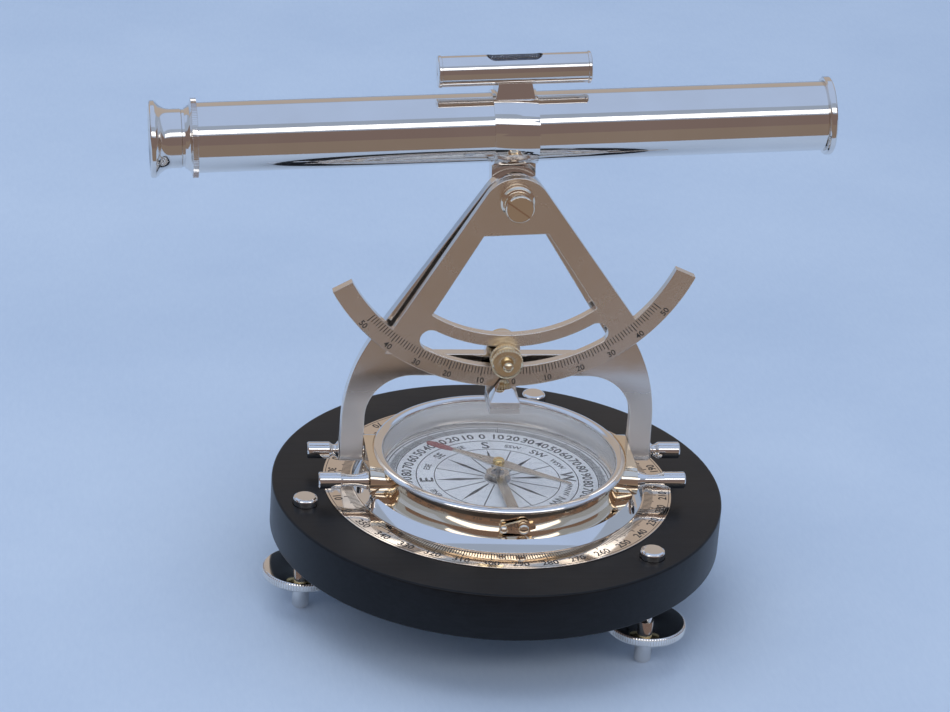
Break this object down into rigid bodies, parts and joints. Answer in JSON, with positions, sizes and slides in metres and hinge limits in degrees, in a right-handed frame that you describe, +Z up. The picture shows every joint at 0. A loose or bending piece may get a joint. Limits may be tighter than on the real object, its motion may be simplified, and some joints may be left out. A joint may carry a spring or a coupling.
{
  "type": "alidade compass",
  "caption": "Sighting telescope with a bubble level, on a graduated limb and a tilting A-shaped frame over a compass bowl, on a round dark wooden base with levelling screws.",
  "frame": {"origin": "on the ground under the axis of the round base", "axes": "+X towards the telescope's objective end, +Y away from the limb's graduated face, +Z up"},
  "size_m": [0.357, 0.2432, 0.3003],
  "materials": {
    "ebonised_wood": "satin black lacquer over fine grain",
    "nickel_plate": "polished nickel plate",
    "lacquered_brass": "lacquered",
    "dial_silver": "silvered, fine grain",
    "steel_dark": "turned",
    "needle_enamel": "blued steel with one red end",
    "clear_glass": "clear",
    "level_spirit": "tinted spirit"
  },
  "bodies": {
    "base": {"base_disc": "ebonised_wood", "azimuth_ring": "nickel_plate", "leveller_bushes": "lacquered_brass", "centre_bush": "lacquered_brass"},
    "turntable": {"turntable_plate": "nickel_plate", "spindle": "nickel_plate", "spindle_nut": "lacquered_brass", "dial_card": "dial_silver", "bowl_shell": "nickel_plate", "bowl_bezel": "nickel_plate", "bowl_glass": "clear_glass", "needle_pivot": "steel_dark", "lug_left": "nickel_plate", "lug_right": "nickel_plate", "lock_lever_screw": "nickel_plate", "lift_arm": "steel_dark"},
    "needle": {"needle_blade": "needle_enamel", "needle_cap": "lacquered_brass"},
    "needle_lock": {"lock_lever": "nickel_plate"},
    "arch": {"arch_frame": "nickel_plate", "index_bracket": "nickel_plate", "index_pointer": "nickel_plate", "index_screws": "nickel_plate", "clamp_bolt": "nickel_plate"},
    "clamp": {"clamp_knob": "nickel_plate"},
    "telescope": {"limb_sector": "nickel_plate", "pivot_hub": "nickel_plate", "pivot_screw": "nickel_plate", "telescope_saddle": "nickel_plate", "telescope_tube": "nickel_plate", "objective_ring": "nickel_plate", "objective_lens": "clear_glass", "eyepiece_flange": "nickel_plate", "level_saddle": "nickel_plate", "level_tube": "nickel_plate", "level_end_caps": "nickel_plate", "level_vial": "clear_glass", "level_liquid": "level_spirit"},
    "eyepiece": {"draw_tube": "nickel_plate", "eyepiece_cup": "nickel_plate", "eye_lens": "clear_glass"},
    "front_thumbscrew_left": {"front_screw_left": "nickel_plate"},
    "rear_thumbscrew_left": {"rear_screw_left": "nickel_plate"},
    "front_thumbscrew_right": {"front_screw_right": "nickel_plate"},
    "rear_thumbscrew_right": {"rear_screw_right": "nickel_plate"},
    "foot_left": {"foot_pin_left": "nickel_plate"},
    "leveller_left": {"leveller_wheel_left": "nickel_plate", "leveller_stem_left": "nickel_plate"},
    "foot_right": {"foot_pin_right": "nickel_plate"},
    "leveller_right": {"leveller_wheel_right": "nickel_plate", "leveller_stem_right": "nickel_plate"},
    "foot_rear": {"foot_pin_rear": "nickel_plate"},
    "leveller_rear": {"leveller_wheel_rear": "nickel_plate", "leveller_stem_rear": "nickel_plate"}
  },
  "joints": [
    {"name": "azimuth_turn", "type": "hinge", "parent": "base", "child": "turntable", "pos_m": [0, 0, 0.0683], "axis": [0, 0, 1], "continuous": true},
    {"name": "needle_swing", "type": "hinge", "parent": "turntable", "child": "needle", "pos_m": [0, 0, 0.0744], "axis": [0, 0, 1], "continuous": true},
    {"name": "needle_lock_lift", "type": "hinge", "parent": "turntable", "child": "needle_lock", "pos_m": [0.004, -0.0671, 0.0725], "axis": [0, 1, 0], "range_deg": [0, 25]},
    {"name": "arch_tilt", "type": "hinge", "parent": "turntable", "child": "arch", "pos_m": [0, 0.0173, 0.0735], "axis": [1, 0, 0], "range_deg": [-60, 25]},
    {"name": "clamp_turn", "type": "hinge", "parent": "arch", "child": "clamp", "pos_m": [0, 0, 0.1351], "axis": [0, -1, 0], "range_deg": [-20, 340]},
    {"name": "telescope_elevation", "type": "hinge", "parent": "arch", "child": "telescope", "pos_m": [0, 0.0078, 0.225], "axis": [0, -1, 0], "range_deg": [-33, 27]},
    {"name": "eyepiece_focus", "type": "slide", "parent": "telescope", "child": "eyepiece", "axis": [-0.9986, 0, -0.0523], "range_m": [0, 0.015]},
    {"name": "front_thumbscrew_turn_left", "type": "hinge", "parent": "turntable", "child": "front_thumbscrew_left", "pos_m": [-0.0714, -0.0173, 0.0735], "axis": [-1, 0, 0], "range_deg": [-20, 340]},
    {"name": "rear_thumbscrew_turn_left", "type": "hinge", "parent": "turntable", "child": "rear_thumbscrew_left", "pos_m": [-0.0714, 0.0173, 0.0735], "axis": [-1, 0, 0], "range_deg": [-20, 340]},
    {"name": "front_thumbscrew_turn_right", "type": "hinge", "parent": "turntable", "child": "front_thumbscrew_right", "pos_m": [0.0714, -0.0173, 0.0735], "axis": [1, 0, 0], "range_deg": [-20, 340]},
    {"name": "rear_thumbscrew_turn_right", "type": "hinge", "parent": "turntable", "child": "rear_thumbscrew_right", "pos_m": [0.0714, 0.0173, 0.0735], "axis": [1, 0, 0], "range_deg": [-20, 340]},
    {"name": "levelling_rise_left", "type": "slide", "parent": "base", "child": "foot_left", "axis": [0, 0, 1], "range_m": [-0.005, 0.002]},
    {"name": "levelling_turn_left", "type": "hinge", "parent": "foot_left", "child": "leveller_left", "pos_m": [-0.10489, -0.02115, 0.0218], "axis": [0, 0, 1], "range_deg": [-1201, 481]},
    {"name": "levelling_rise_right", "type": "slide", "parent": "base", "child": "foot_right", "axis": [0, 0, 1], "range_m": [-0.005, 0.002]},
    {"name": "levelling_turn_right", "type": "hinge", "parent": "foot_right", "child": "leveller_right", "pos_m": [0.07076, -0.08026, 0.0218], "axis": [0, 0, 1], "range_deg": [-1201, 481]},
    {"name": "levelling_rise_rear", "type": "slide", "parent": "base", "child": "foot_rear", "axis": [0, 0, 1], "range_m": [-0.005, 0.002]},
    {"name": "levelling_turn_rear", "type": "hinge", "parent": "foot_rear", "child": "leveller_rear", "pos_m": [0.03413, 0.10141, 0.0218], "axis": [0, 0, 1], "range_deg": [-1201, 481]}
  ],
  "couplings": [
    {"joint": "levelling_turn_left", "follows": "levelling_rise_left", "rad_per_m": 4188.8},
    {"joint": "levelling_turn_right", "follows": "levelling_rise_right", "rad_per_m": 4188.8},
    {"joint": "levelling_turn_rear", "follows": "levelling_rise_rear", "rad_per_m": 4188.8}
  ]
}
